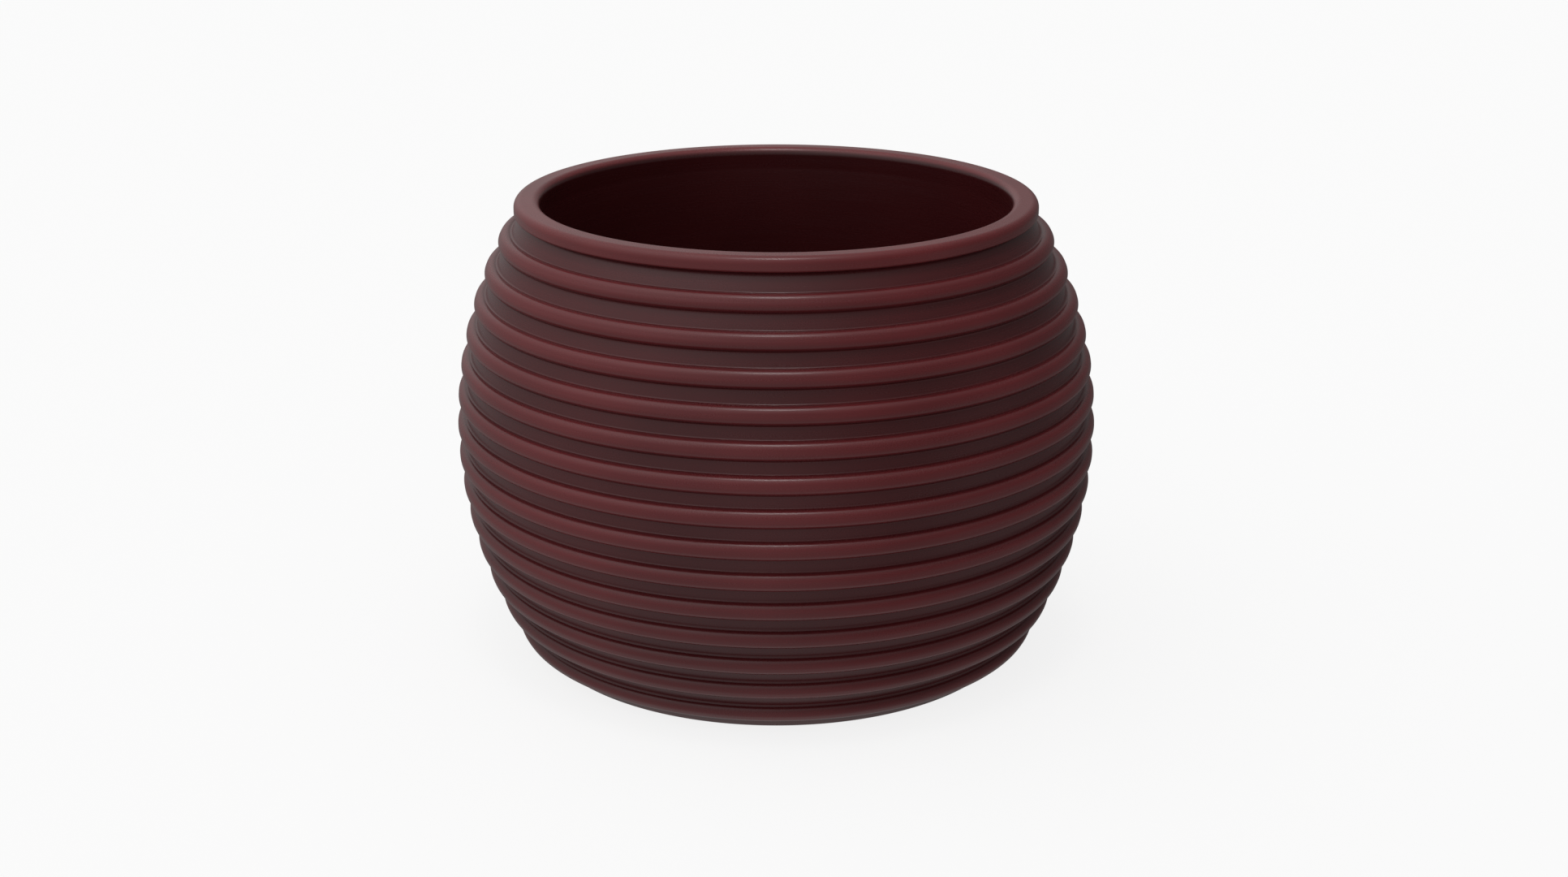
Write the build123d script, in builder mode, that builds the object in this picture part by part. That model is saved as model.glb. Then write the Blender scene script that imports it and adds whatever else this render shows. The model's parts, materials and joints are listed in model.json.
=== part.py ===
from build123d import *
import math
import os

# Round garden planter: a ribbed, barrel-shaped outer shell with a smooth
# lift-out liner whose rolled rim caps the shell. Millimetres, +Z up, origin on
# the ground at the centre of the foot pads; Z is the axis of revolution.
# In the names, R is a radius, T a thickness and Z a height above the ground.

# ----------------------------------------------------------- shared dimensions
BASE_UNDER_Z = 9.0           # underside of the shell's floor, inside the ring
SHELL_FLOOR_T = 6.0
NECK_TOP_Z = 425.0           # top edge of the shell, inside the rolled rim
ACCESS_R = 34.0              # hole in the shell floor below the drain

LINER_FLOOR_Z = 27.0         # underside of the liner floor
LINER_FLOOR_T = 5.0
DRAIN_HOLE_R = 16.0          # hole in the liner floor

FOOT_COUNT = 6
FOOT_CIRCLE_R = 165.0        # circle the feet stand on
INSERT_R = 4.5               # threaded insert that holds a foot's screw
INSERT_BOTTOM_Z = 10.0
INSERT_TOP_Z = 22.5

PLATFORM_Z = 82.0            # underside of the drainage platform
PLATFORM_T = 5.0
LEG_COUNT = 6
LEG_CIRCLE_R = 132.0
LEG_BORE_R = 13.0

shell_floor_top = BASE_UNDER_Z + SHELL_FLOOR_T
liner_floor_top = LINER_FLOOR_Z + LINER_FLOOR_T


def round_corner(sketch, point, radius):
    """Round the corner of the sketch in progress that lies nearest to a point."""
    fillet(sketch.vertices().sort_by_distance(point)[0], radius=radius)


# ---------------------------------------------------------- ribbed outer shell
# barrel curve of the outer wall (bands between the ribs)
ARC_R = 386.66               # meridian radius
ARC_Z = 213.11               # height of the widest place
BAND_MAX_R = 292.12          # band radius at the widest place
SHELL_WALL = 5.5             # wall thickness behind the bands
SHELL_LIP_ROUND = 1.5        # rounding of the top edge

FOOT_STANDOFF = 2.0          # base ring stands this far off the ground
BASE_RING_T = 7.0            # width of the ring the wall stands on
BASE_EDGE_ROUND = 2.6        # bottom outer edge of the ring
BASE_INNER_ROUND = 1.5       # corner between the ring and the floor's underside
SHELL_CORNER_ROUND = 6.0     # inside, between wall and floor

# ribs: rounded hoops, evenly spaced in height
RIB_COUNT = 14
RIB_PITCH = 28.545
RIB_TOP_Z = 422.60 - RIB_PITCH
RIB_R = 7.25                 # radius of the hoop's two rounded edges
RIB_OUT = 0.61               # centres of those edges proud of the band
RIB_FACE = 2.2               # distance between those centres, along the meridian
RIB_FILLET = 1.9             # blend between hoop and band

BOSS_R = 13.0
INSERT_HOLE_CLEARANCE = 0.02
INSERT_HOLE_EXTRA = 1.0      # hole runs this far above the insert
WEB_T = 4.0
WEB_H = 4.0                  # height of the webs and the collar
COLLAR_T = 4.0               # ring around the access hole
WEB_START_R = ACCESS_R + 2.0
WEB_END_R = FOOT_CIRCLE_R - 6.0

arc_centre_r = BAND_MAX_R - ARC_R
inner_arc_r = ARC_R - SHELL_WALL
edge_centre_arc_r = ARC_R + RIB_OUT       # arc through the hoop edges' centres
blend_centre_arc_r = ARC_R + RIB_FILLET   # arc through the blends' centres


def on_arc(angle, radius=ARC_R):
    """Point at a distance from the meridian's centre, angle from horizontal."""
    return (arc_centre_r + radius * math.cos(angle), ARC_Z + radius * math.sin(angle))


def arc_angle(z, radius=ARC_R):
    return math.asin((z - ARC_Z) / radius)


def towards(start, target, distance):
    """Point at a distance from start on the way to target."""
    dx, dy = target[0] - start[0], target[1] - start[1]
    length = math.hypot(dx, dy)
    return (start[0] + dx * distance / length, start[1] + dy * distance / length)


def meridian_arc(start, end, radius=ARC_R):
    """Draw an arc about the meridian's centre between two angles."""
    ThreePointArc(
        on_arc(start, radius), on_arc((start + end) / 2, radius), on_arc(end, radius)
    )


def short_arc(start, end, centre, radius):
    """Draw the shorter arc about a centre between two points."""
    middle = ((start[0] + end[0]) / 2, (start[1] + end[1]) / 2)
    ThreePointArc(start, towards(centre, middle, radius), end)


def rib_outline(upper, lower, blend_start, blend_end):
    """Draw one rib downwards, from the angles of its edge centres and blend ends."""
    upper_centre = on_arc(upper, edge_centre_arc_r)
    lower_centre = on_arc(lower, edge_centre_arc_r)
    upper_blend = on_arc(blend_start, blend_centre_arc_r)
    lower_blend = on_arc(blend_end, blend_centre_arc_r)
    upper_tangent = towards(upper_centre, upper_blend, RIB_R)
    lower_tangent = towards(lower_centre, lower_blend, RIB_R)
    face_r = edge_centre_arc_r + RIB_R
    face_top, face_bottom = on_arc(upper, face_r), on_arc(lower, face_r)
    short_arc(on_arc(blend_start), upper_tangent, upper_blend, RIB_FILLET)
    short_arc(upper_tangent, face_top, upper_centre, RIB_R)
    meridian_arc(upper, lower, face_r)
    short_arc(face_bottom, lower_tangent, lower_centre, RIB_R)
    short_arc(lower_tangent, on_arc(blend_end), lower_blend, RIB_FILLET)


def ribbed_shell():
    # angle from an edge's centre to where its blend meets the band
    rib_half = math.acos(
        (edge_centre_arc_r**2 + blend_centre_arc_r**2 - (RIB_R + RIB_FILLET) ** 2)
        / (2 * edge_centre_arc_r * blend_centre_arc_r)
    )
    face_turn = RIB_FACE / edge_centre_arc_r
    top = arc_angle(NECK_TOP_Z)
    base = arc_angle(FOOT_STANDOFF)
    inner_top = arc_angle(NECK_TOP_Z, inner_arc_r)
    inner_floor = arc_angle(shell_floor_top, inner_arc_r)
    base_r = on_arc(base)[0]
    ring_in_r = base_r - BASE_RING_T

    with BuildPart() as shell:
        with BuildSketch(Plane.XZ) as section:
            with BuildLine():
                # bands and ribs, from the top down
                here = top
                for i in range(RIB_COUNT):
                    upper = arc_angle(RIB_TOP_Z - i * RIB_PITCH)
                    lower = upper - face_turn
                    blend_start, blend_end = upper + rib_half, lower - rib_half
                    meridian_arc(here, blend_start)
                    rib_outline(upper, lower, blend_start, blend_end)
                    here = blend_end
                meridian_arc(here, base)
                Polyline(
                    on_arc(base),
                    (ring_in_r, FOOT_STANDOFF),
                    (ring_in_r, BASE_UNDER_Z),
                    (ACCESS_R, BASE_UNDER_Z),
                    (ACCESS_R, shell_floor_top),
                    on_arc(inner_floor, inner_arc_r),
                )
                meridian_arc(inner_floor, inner_top, inner_arc_r)
                Line(on_arc(inner_top, inner_arc_r), on_arc(top))
            make_face()
            round_corner(section, (base_r, FOOT_STANDOFF), BASE_EDGE_ROUND)
            round_corner(section, (ring_in_r, BASE_UNDER_Z), BASE_INNER_ROUND)
            round_corner(section, on_arc(inner_floor, inner_arc_r), SHELL_CORNER_ROUND)
            round_corner(section, on_arc(top), SHELL_LIP_ROUND)
            round_corner(section, on_arc(inner_top, inner_arc_r), SHELL_LIP_ROUND)
        revolve(axis=Axis.Z)
        # bosses: the liner stands on their tops and each holds a foot's insert
        with BuildSketch(Plane.XY.offset(shell_floor_top)):
            with PolarLocations(FOOT_CIRCLE_R, FOOT_COUNT):
                Circle(BOSS_R)
        extrude(amount=LINER_FLOOR_Z - shell_floor_top)
        with BuildSketch(Plane.XY.offset(BASE_UNDER_Z)):
            with PolarLocations(FOOT_CIRCLE_R, FOOT_COUNT):
                Circle(INSERT_R + INSERT_HOLE_CLEARANCE)
        extrude(amount=INSERT_TOP_Z + INSERT_HOLE_EXTRA - BASE_UNDER_Z, mode=Mode.SUBTRACT)
        # stiffening webs from the access hole's collar to the bosses
        with BuildSketch(Plane.XY.offset(shell_floor_top)):
            with PolarLocations(0, FOOT_COUNT):
                with Locations(((WEB_START_R + WEB_END_R) / 2, 0)):
                    Rectangle(WEB_END_R - WEB_START_R, WEB_T)
            Circle(ACCESS_R + COLLAR_T)
            Circle(ACCESS_R, mode=Mode.SUBTRACT)
        extrude(amount=WEB_H)
    return shell.part


# ------------------------------------------------------------------- liner pot
LIP_TOP_Z = 430.54
LIP_OUT_R = 240.88
LIP_WIDTH = 24.1
LIP_H = 13.55                # height of the rolled rim outside
LIP_WALL = 5.4
RIM_GAP = 0.3                # rim clears the shell's top edge by this much
LINER_WALL = 5.0
UPRIGHT_H = 8.0              # upright part of the wall below the rim's underside
LINER_FLOOR_R = 194.0        # inside radius of the tapered wall at the floor
LINER_CORNER_R = 20.0        # inside rounding between wall and floor
OVERFLOW_R = 4.0
OVERFLOW_Z = 70.0
OVERFLOW_COUNT = 3
OVERFLOW_FIRST_ANGLE = 30.0
OVERFLOW_CUT_START_R = 180.0
OVERFLOW_CUT_LENGTH = 40.0


def liner_pot():
    lip_in_r = LIP_OUT_R - LIP_WIDTH
    skirt_in_r = LIP_OUT_R - LIP_WALL
    lip_bottom_z = LIP_TOP_Z - LIP_H
    lip_under_z = NECK_TOP_Z + RIM_GAP
    wall_top_z = lip_under_z - UPRIGHT_H    # the tapered wall turns upright here
    slope = (lip_in_r - LINER_FLOOR_R) / (wall_top_z - liner_floor_top)
    # outside of the wall, with its line carried down to the underside
    bottom_r = LINER_FLOOR_R - slope * LINER_FLOOR_T + LINER_WALL
    corner_rounds = (
        ((LINER_FLOOR_R, liner_floor_top), LINER_CORNER_R),
        ((bottom_r, LINER_FLOOR_Z), LINER_CORNER_R + LINER_WALL),
        ((lip_in_r, LIP_TOP_Z), 6.5),
        ((LIP_OUT_R, LIP_TOP_Z), 6.8),
        ((LIP_OUT_R, lip_bottom_z), 4.4),
        ((skirt_in_r, lip_bottom_z), 0.6),
        ((skirt_in_r, lip_under_z), 1.5),
    )

    with BuildPart() as liner:
        with BuildSketch(Plane.XZ) as section:
            with BuildLine():
                Polyline(
                    (DRAIN_HOLE_R, liner_floor_top),
                    (LINER_FLOOR_R, liner_floor_top),
                    (lip_in_r, wall_top_z),
                    (lip_in_r, LIP_TOP_Z),
                    (LIP_OUT_R, LIP_TOP_Z),
                    (LIP_OUT_R, lip_bottom_z),
                    (skirt_in_r, lip_bottom_z),
                    (skirt_in_r, lip_under_z),
                    (lip_in_r + LINER_WALL, lip_under_z),
                    (lip_in_r + LINER_WALL, wall_top_z),
                    (bottom_r, LINER_FLOOR_Z),
                    (DRAIN_HOLE_R, LINER_FLOOR_Z),
                    close=True,
                )
            make_face()
            for corner, radius in corner_rounds:
                round_corner(section, corner, radius)
        revolve(axis=Axis.Z)
        # overflow holes through the wall, below the platform
        for i in range(OVERFLOW_COUNT):
            angle = math.radians(OVERFLOW_FIRST_ANGLE + 360.0 * i / OVERFLOW_COUNT)
            outward = Vector(math.cos(angle), math.sin(angle), 0)
            start = outward * OVERFLOW_CUT_START_R + Vector(0, 0, OVERFLOW_Z)
            with BuildSketch(Plane(origin=start, z_dir=outward)):
                Circle(OVERFLOW_R)
            extrude(amount=OVERFLOW_CUT_LENGTH, mode=Mode.SUBTRACT)
    return liner.part


# ------------------------------------------------------------------------ feet
PAD_R = 22.0
PAD_CHAMFER = 1.2
PAD_RECESS_R = 7.0           # takes the screw head and washer
PAD_RECESS_DEPTH = 5.0
PAD_HOLE_R = 3.3
WASHER_R = 6.5
WASHER_HOLE_R = 3.2
WASHER_T = 1.2
HEAD_R = 5.25
HEAD_T = 2.9
HEAD_ROUND = 1.2
SOCKET_HALF_WIDTH = 2.0      # hexagon socket in the head, half across the flats
SOCKET_DEPTH = 1.8
SCREW_R = 2.95
SCREW_TIP_CHAMFER = 0.6
SCREW_TIP_GAP = 0.7          # screw ends this far below the insert's top
INSERT_BORE_R = 3.0
GROOVE_H = 2.5
GROOVE_DEPTH = 0.6

washer_z = PAD_RECESS_DEPTH - WASHER_T
head_z = washer_z - HEAD_T


def foot_pads():
    with BuildPart() as pads:
        with BuildSketch(Plane.XY):
            with PolarLocations(FOOT_CIRCLE_R, FOOT_COUNT):
                Circle(PAD_R)
        extrude(amount=BASE_UNDER_Z)
        bottom_edges = pads.edges().filter_by(GeomType.CIRCLE).group_by(Axis.Z)[0]
        chamfer(bottom_edges, length=PAD_CHAMFER)
        for radius, depth in ((PAD_RECESS_R, PAD_RECESS_DEPTH), (PAD_HOLE_R, BASE_UNDER_Z)):
            with BuildSketch(Plane.XY):
                with PolarLocations(FOOT_CIRCLE_R, FOOT_COUNT):
                    Circle(radius)
            extrude(amount=depth, mode=Mode.SUBTRACT)
    return pads.part


def foot_washers():
    with BuildPart() as washers:
        with BuildSketch(Plane.XY.offset(washer_z)):
            with PolarLocations(FOOT_CIRCLE_R, FOOT_COUNT):
                Circle(WASHER_R)
                Circle(WASHER_HOLE_R, mode=Mode.SUBTRACT)
        extrude(amount=WASHER_T)
    return washers.part


def foot_screws():
    with BuildPart() as screws:
        with BuildSketch(Plane.XY.offset(head_z)):
            with PolarLocations(FOOT_CIRCLE_R, FOOT_COUNT):
                Circle(HEAD_R)
        extrude(amount=HEAD_T)
        head_edges = screws.edges().filter_by(GeomType.CIRCLE).group_by(Axis.Z)[0]
        fillet(head_edges, radius=HEAD_ROUND)
        with BuildSketch(Plane.XY.offset(washer_z)):
            with PolarLocations(FOOT_CIRCLE_R, FOOT_COUNT):
                Circle(SCREW_R)
        extrude(amount=INSERT_TOP_Z - SCREW_TIP_GAP - washer_z)
        tip_edges = screws.edges().filter_by(GeomType.CIRCLE).group_by(Axis.Z)[-1]
        chamfer(tip_edges, length=SCREW_TIP_CHAMFER)
        with BuildSketch(Plane.XY.offset(head_z)):
            with PolarLocations(FOOT_CIRCLE_R, FOOT_COUNT):
                RegularPolygon(SOCKET_HALF_WIDTH, 6, major_radius=False)
        extrude(amount=SOCKET_DEPTH, mode=Mode.SUBTRACT)
    return screws.part


def foot_inserts():
    with BuildPart() as inserts:
        with BuildSketch(Plane.XY.offset(INSERT_BOTTOM_Z)):
            with PolarLocations(FOOT_CIRCLE_R, FOOT_COUNT):
                Circle(INSERT_R)
                Circle(INSERT_BORE_R, mode=Mode.SUBTRACT)
        extrude(amount=INSERT_TOP_Z - INSERT_BOTTOM_Z)
        # one waist groove between the two gripping bands
        with BuildSketch(Plane.XY.offset((INSERT_BOTTOM_Z + INSERT_TOP_Z - GROOVE_H) / 2)):
            with PolarLocations(FOOT_CIRCLE_R, FOOT_COUNT):
                Circle(INSERT_R + 1)
                Circle(INSERT_R - GROOVE_DEPTH, mode=Mode.SUBTRACT)
        extrude(amount=GROOVE_H, mode=Mode.SUBTRACT)
    return inserts.part


# ----------------------------------------------------------------------- drain
BUSH_BORE_R = 12.0
BUSH_BARREL_R = 15.9
BUSH_BOTTOM_Z = 14.0
BUSH_FLANGE_R = 26.0
BUSH_FLANGE_T = 4.0
FLANGE_BEVEL_W = 3.0         # outer bevel on the flange's top
FLANGE_BEVEL_H = 1.5
BORE_BEVEL = 2.0
NOTCH_COUNT = 8
NOTCH_CIRCLE_R = 20.0
NOTCH_LENGTH = 16.0
NOTCH_WIDTH = 3.0
NOTCH_DEPTH = 1.6
NOTCH_CUT_H = 3.0            # runs out above the flange
GASKET_T = 2.0
GASKET_INSET = 0.5           # gasket's edge inside the flange's
NUT_T = 8.0
NUT_HALF_WIDTH = 24.0        # half across the flats
NUT_CLEARANCE = 0.05
NUT_CONE_SMALL_R = 24.4
NUT_CONE_LARGE_R = 28.0
NUT_CONE_H = 2.0
CUT_MARGIN = 0.01

O_RING_R = 1.5               # nominal section radius
O_RING_CLEARANCE = 0.01
PLUG_R = 11.94
PLUG_LENGTH = 21.5           # above the plug's flange
PLUG_TIP_CHAMFER = 1.5
PLUG_HOLLOW_R = 8.0
PLUG_HOLLOW_FLOOR = 3.0      # hollow's floor above the flange's top
PLUG_FLANGE_R = 19.5
PLUG_FLANGE_T = 3.0
PLUG_FLANGE_CHAMFER = 1.0
BAR_LENGTH = 32.0
BAR_WIDTH = 7.0
BAR_H = 4.5
BAR_ROUND = 1.2

gasket_top = liner_floor_top + GASKET_T
bush_top = gasket_top + BUSH_FLANGE_T
plug_flange_top = BUSH_BOTTOM_Z - 2 * O_RING_R
plug_flange_bottom = plug_flange_top - PLUG_FLANGE_T


def drain_bush():
    with BuildPart() as bush:
        with BuildSketch(Plane.XZ):
            with BuildLine():
                Polyline(
                    (BUSH_BORE_R, BUSH_BOTTOM_Z),
                    (BUSH_BARREL_R, BUSH_BOTTOM_Z),
                    (BUSH_BARREL_R, gasket_top),
                    (BUSH_FLANGE_R, gasket_top),
                    (BUSH_FLANGE_R, bush_top - FLANGE_BEVEL_H),
                    (BUSH_FLANGE_R - FLANGE_BEVEL_W, bush_top),
                    (BUSH_BORE_R + BORE_BEVEL, bush_top),
                    (BUSH_BORE_R, bush_top - BORE_BEVEL),
                    close=True,
                )
            make_face()
        revolve(axis=Axis.Z)
        # notches in the flange let the last of the water reach the bore
        with BuildSketch(Plane.XY.offset(bush_top - NOTCH_DEPTH)):
            with PolarLocations(NOTCH_CIRCLE_R, NOTCH_COUNT):
                Rectangle(NOTCH_LENGTH, NOTCH_WIDTH)
        extrude(amount=NOTCH_CUT_H, mode=Mode.SUBTRACT)
    return bush.part


def drain_gasket():
    with BuildPart() as gasket:
        with BuildSketch(Plane.XY.offset(liner_floor_top)):
            Circle(BUSH_FLANGE_R - GASKET_INSET)
            Circle(DRAIN_HOLE_R, mode=Mode.SUBTRACT)
        extrude(amount=GASKET_T)
    return gasket.part


def drain_nut():
    nut_bottom = LINER_FLOOR_Z - NUT_T
    with BuildPart() as nut:
        with BuildSketch(Plane.XY.offset(nut_bottom)):
            RegularPolygon(NUT_HALF_WIDTH, 6, major_radius=False)
            Circle(BUSH_BARREL_R + NUT_CLEARANCE, mode=Mode.SUBTRACT)
        extrude(amount=NUT_T)
        # the hexagon's lower corners are turned to a cone
        with BuildSketch(Plane.XZ):
            with BuildLine():
                Polyline(
                    (0, nut_bottom - CUT_MARGIN),
                    (NUT_CONE_SMALL_R, nut_bottom - CUT_MARGIN),
                    (NUT_CONE_LARGE_R, nut_bottom + NUT_CONE_H),
                    (NUT_CONE_LARGE_R, LINER_FLOOR_Z),
                    (0, LINER_FLOOR_Z),
                    close=True,
                )
            make_face()
        revolve(axis=Axis.Z, mode=Mode.INTERSECT)
    return nut.part


def drain_plug():
    """The plug screws up into the bush from below and seals on its bottom edge."""
    plug_top = plug_flange_top + PLUG_LENGTH
    with BuildPart() as plug:
        with BuildSketch(Plane.XZ):
            with BuildLine():
                Polyline(
                    (0, plug_flange_bottom),
                    (PLUG_FLANGE_R - PLUG_FLANGE_CHAMFER, plug_flange_bottom),
                    (PLUG_FLANGE_R, plug_flange_bottom + PLUG_FLANGE_CHAMFER),
                    (PLUG_FLANGE_R, plug_flange_top),
                    (PLUG_R, plug_flange_top),
                    (PLUG_R, plug_top - PLUG_TIP_CHAMFER),
                    (PLUG_R - PLUG_TIP_CHAMFER, plug_top),
                    (PLUG_HOLLOW_R, plug_top),
                    (PLUG_HOLLOW_R, plug_flange_top + PLUG_HOLLOW_FLOOR),
                    (0, plug_flange_top + PLUG_HOLLOW_FLOOR),
                    close=True,
                )
            make_face()
        revolve(axis=Axis.Z)
        # finger bar across the underside
        with BuildSketch(Plane.XY.offset(plug_flange_bottom)):
            SlotOverall(BAR_LENGTH, BAR_WIDTH)
        extrude(amount=-BAR_H)
        fillet(plug.faces().sort_by(Axis.Z)[0].edges(), radius=BAR_ROUND)
    return plug.part


def plug_o_ring():
    # centred under the bush's end face
    centre_r = (BUSH_BORE_R + BUSH_BARREL_R) / 2
    with BuildPart() as ring:
        with BuildSketch(Plane.XZ):
            with Locations((centre_r, BUSH_BOTTOM_Z - O_RING_R)):
                Circle(O_RING_R - O_RING_CLEARANCE)
        revolve(axis=Axis.Z)
    return ring.part


# ---------------------------------------------------------- drainage platform
PLATFORM_R = 191.0
PLATFORM_EDGE_ROUND = 1.5
# stiffening hoops underneath: outer radius, inner radius
HOOPS = ((PLATFORM_R - 4.0, PLATFORM_R - 8.0), (102.0, 98.5))
UNDERSIDE_DEPTH = 8.0        # of the hoops and spigots
SPIGOT_R = LEG_BORE_R - 0.05
SPIGOT_WALL = 2.5
HOLE_R = 4.0
# drain holes: circle radius, count
HOLE_RINGS = ((28.0, 8), (48.0, 12), (68.0, 18), (90.0, 24), (160.0, 42), (178.0, 48))
FINGER_HOLE_R = 15.0
FINGER_CIRCLE_R = 124.0
FINGER_ANGLE = 30
LEG_R = 17.0
PORT_WIDTH = 8.0
PORT_H = 8.0
PORT_CUT_LENGTH = 2.5 * LEG_R
MAT_T = 4.0
MAT_R = 190.0


def drainage_platform():
    with BuildPart() as platform:
        with BuildSketch(Plane.XY.offset(PLATFORM_Z)):
            Circle(PLATFORM_R)
        extrude(amount=PLATFORM_T)
        fillet(platform.edges().filter_by(GeomType.CIRCLE), radius=PLATFORM_EDGE_ROUND)
        # stiffening hoops and leg spigots underneath; each hoop's inside is
        # cleared before the next, smaller hoop is drawn
        with BuildSketch(Plane.XY.offset(PLATFORM_Z)):
            for outer_r, inner_r in HOOPS:
                Circle(outer_r)
                Circle(inner_r, mode=Mode.SUBTRACT)
            with PolarLocations(LEG_CIRCLE_R, LEG_COUNT):
                Circle(SPIGOT_R)
        extrude(amount=-UNDERSIDE_DEPTH)
        with BuildSketch(Plane.XY.offset(PLATFORM_Z - UNDERSIDE_DEPTH)):
            with PolarLocations(LEG_CIRCLE_R, LEG_COUNT):
                Circle(SPIGOT_R - SPIGOT_WALL)
        extrude(amount=UNDERSIDE_DEPTH, mode=Mode.SUBTRACT)
        with BuildSketch(Plane.XY.offset(PLATFORM_Z)):
            for ring_r, count in HOLE_RINGS:
                with PolarLocations(ring_r, count):
                    Circle(HOLE_R)
            # two finger holes for lifting
            with PolarLocations(FINGER_CIRCLE_R, 2, start_angle=FINGER_ANGLE):
                Circle(FINGER_HOLE_R)
        extrude(amount=PLATFORM_T, mode=Mode.SUBTRACT)
    return platform.part


def platform_legs():
    with BuildPart() as legs:
        with BuildSketch(Plane.XY.offset(liner_floor_top)):
            with PolarLocations(LEG_CIRCLE_R, LEG_COUNT):
                Circle(LEG_R)
                Circle(LEG_BORE_R, mode=Mode.SUBTRACT)
        extrude(amount=PLATFORM_Z - liner_floor_top)
        # crossed water ports at the foot of each leg
        with BuildSketch(Plane.XY.offset(liner_floor_top)):
            with PolarLocations(LEG_CIRCLE_R, LEG_COUNT):
                Rectangle(PORT_CUT_LENGTH, PORT_WIDTH)
                Rectangle(PORT_WIDTH, PORT_CUT_LENGTH)
        extrude(amount=PORT_H, mode=Mode.SUBTRACT)
    return legs.part


def filter_mat():
    """Soft felt mat that keeps the soil out of the reservoir."""
    with BuildPart() as mat:
        with BuildSketch(Plane.XY.offset(PLATFORM_Z + PLATFORM_T)):
            Circle(MAT_R)
        extrude(amount=MAT_T)
    return mat.part


# ---------------------------------------------------------------------- export
# each function is named after the piece it builds
PIECES = (
    ribbed_shell, liner_pot,
    foot_pads, foot_washers, foot_screws, foot_inserts,
    drain_bush, drain_gasket, drain_nut, drain_plug, plug_o_ring,
    drainage_platform, platform_legs, filter_mat,
)

os.makedirs("parts", exist_ok=True)
for build in PIECES:
    piece = build()
    piece.label = build.__name__
    export_step(piece, f"parts/{piece.label}.step")
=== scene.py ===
"""A round planter with a hooped oxblood outer shell and a lipped liner pot inside it.

It stands upright on six foot pads, its axis on world Z, and the camera looks at it from -Y.
Inside are a perforated drainage platform on six legs and a felt mat on top of the platform.
Outlines are (r, z) points in millimetres about the axis; objects are built in metres.
"""

import json
import math

import bmesh
import bpy
import numpy as np
from mathutils import Matrix, Vector, noise

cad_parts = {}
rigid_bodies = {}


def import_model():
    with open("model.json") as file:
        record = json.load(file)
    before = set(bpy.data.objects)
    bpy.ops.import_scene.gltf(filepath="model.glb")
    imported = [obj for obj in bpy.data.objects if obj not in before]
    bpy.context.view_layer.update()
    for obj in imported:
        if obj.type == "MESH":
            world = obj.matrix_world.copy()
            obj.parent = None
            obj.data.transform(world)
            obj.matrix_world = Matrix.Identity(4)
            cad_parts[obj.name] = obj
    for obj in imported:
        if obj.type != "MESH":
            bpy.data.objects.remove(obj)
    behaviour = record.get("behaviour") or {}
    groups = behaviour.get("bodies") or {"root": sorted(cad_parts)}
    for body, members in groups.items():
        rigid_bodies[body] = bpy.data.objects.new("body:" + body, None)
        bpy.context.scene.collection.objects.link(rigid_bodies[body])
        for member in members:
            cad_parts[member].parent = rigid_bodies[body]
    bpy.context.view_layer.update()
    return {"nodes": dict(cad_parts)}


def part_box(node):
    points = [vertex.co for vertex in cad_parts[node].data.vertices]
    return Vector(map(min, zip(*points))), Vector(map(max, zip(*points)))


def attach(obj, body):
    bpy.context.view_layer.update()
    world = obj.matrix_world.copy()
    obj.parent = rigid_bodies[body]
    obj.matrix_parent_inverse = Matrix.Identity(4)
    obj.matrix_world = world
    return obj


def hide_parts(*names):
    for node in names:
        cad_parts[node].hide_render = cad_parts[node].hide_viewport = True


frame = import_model()
NODES = frame["nodes"]
scene = bpy.context.scene
MM = 0.001
PI = math.pi
SIXTHS = [2 * PI * k / 6 for k in range(6)]


# ---------------------------------------------------------------- mesh helpers
def box_mm(node):
    low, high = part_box(node)
    return np.array(low) * 1000.0, np.array(high) * 1000.0


def mesh_object(name, mesh):
    obj = bpy.data.objects.new(name, mesh)
    scene.collection.objects.link(obj)
    return obj


def bmesh_object(name, bm):
    """Object from a bmesh, which is freed."""
    mesh = bpy.data.meshes.new(name)
    bm.to_mesh(mesh)
    bm.free()
    return mesh_object(name, mesh)


def pydata_object(name, verts, faces):
    mesh = bpy.data.meshes.new(name)
    mesh.from_pydata(verts, [], faces)
    mesh.update()
    mesh.shade_smooth()
    return mesh_object(name, mesh)


def sharpen(mesh, degrees=40):
    mesh.set_sharp_from_angle(angle=math.radians(degrees))


def outward(obj):
    """Turn all faces outwards."""
    bm = bmesh.new()
    bm.from_mesh(obj.data)
    bmesh.ops.recalc_face_normals(bm, faces=bm.faces)
    bm.to_mesh(obj.data)
    bm.free()
    return obj


def evaluated_mesh(obj):
    depsgraph = bpy.context.evaluated_depsgraph_get()
    return bpy.data.meshes.new_from_object(obj.evaluated_get(depsgraph))


def apply_modifiers(obj):
    mesh = evaluated_mesh(obj)
    obj.modifiers.clear()
    obj.data = mesh


def subtract(obj, cutters):
    """Take the cutters out of an object, then delete them."""
    bpy.context.view_layer.update()
    for cutter in cutters:
        cut = obj.modifiers.new("cut", "BOOLEAN")
        cut.operation = "DIFFERENCE"
        cut.solver = "EXACT"
        cut.object = cutter
    apply_modifiers(obj)
    for cutter in cutters:
        bpy.data.objects.remove(cutter)
    sharpen(obj.data)


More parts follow.
